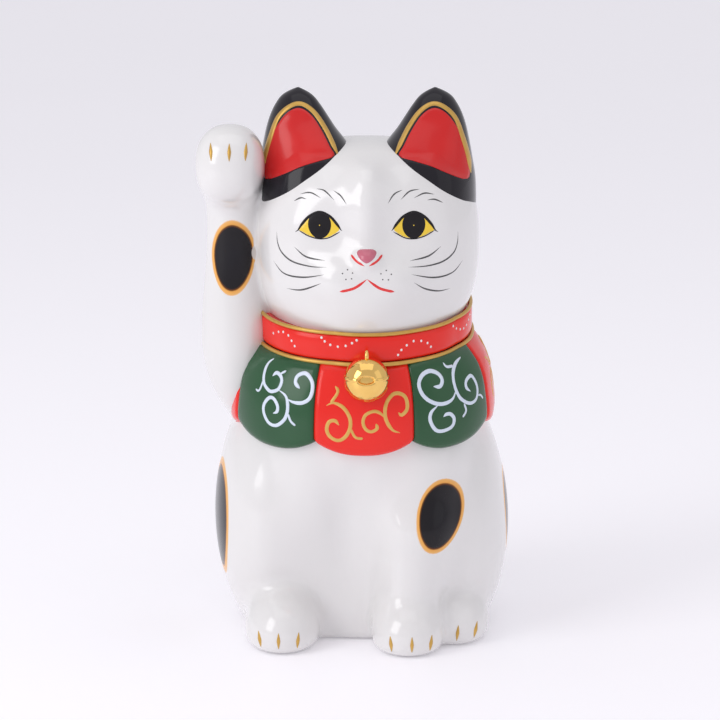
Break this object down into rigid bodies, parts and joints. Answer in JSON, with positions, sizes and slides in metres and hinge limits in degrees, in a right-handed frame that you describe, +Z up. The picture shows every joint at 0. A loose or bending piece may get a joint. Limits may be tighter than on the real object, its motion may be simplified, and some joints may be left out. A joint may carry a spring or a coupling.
{
  "type": "beckoning cat figurine",
  "caption": "Seated glazed ceramic beckoning cat with its right paw raised beside the ear, in a collar, scalloped bib and bell.",
  "frame": {"origin": "on the flat base at the level of the foot plane, on the body's mid-plane", "axes": "+Z up; the cat faces -Y; its raised right arm is on the -X side"},
  "size_m": [0.1032, 0.1039, 0.1812],
  "materials": {
    "white_glaze": "warm white gloss glaze",
    "black_glaze": "black gloss glaze",
    "red_enamel": "vermilion overglaze enamel, glossy",
    "green_enamel": "green overglaze enamel, glossy",
    "gilt_line": "painted gold, semi-gloss",
    "bell_gilding": "bright gold gilding, mirror-like",
    "pink_enamel": "pink overglaze enamel, glossy"
  },
  "bodies": {
    "root": {"body_casting": "white_glaze", "head_casting": "white_glaze", "raised_arm_casting": "white_glaze", "left_ear": "black_glaze", "right_ear": "black_glaze", "tail": "black_glaze", "left_ear_lining": "red_enamel", "right_ear_lining": "red_enamel", "collar_band": "red_enamel", "bib_panel_front": "red_enamel", "bib_panel_left": "red_enamel", "bib_panel_back": "red_enamel", "bib_panel_right": "red_enamel", "bib_panel_front_left": "green_enamel", "bib_panel_front_right": "green_enamel", "bib_panel_back_left": "green_enamel", "bib_panel_back_right": "green_enamel", "left_ear_gilt_line": "gilt_line", "right_ear_gilt_line": "gilt_line", "collar_upper_piping": "gilt_line", "collar_lower_piping": "gilt_line", "right_hind_claw_outer": "gilt_line", "right_hind_claw_middle": "gilt_line", "right_hind_claw_inner": "gilt_line", "left_fore_claw_inner": "gilt_line", "left_fore_claw_middle": "gilt_line", "left_fore_claw_outer": "gilt_line", "left_hind_claw_middle": "gilt_line", "left_hind_claw_outer": "gilt_line", "raised_paw_claw_outer": "gilt_line", "raised_paw_claw_middle": "gilt_line", "raised_paw_claw_inner": "gilt_line", "bell": "bell_gilding", "bell_loop": "bell_gilding", "nose": "pink_enamel"}
  },
  "joints": []
}
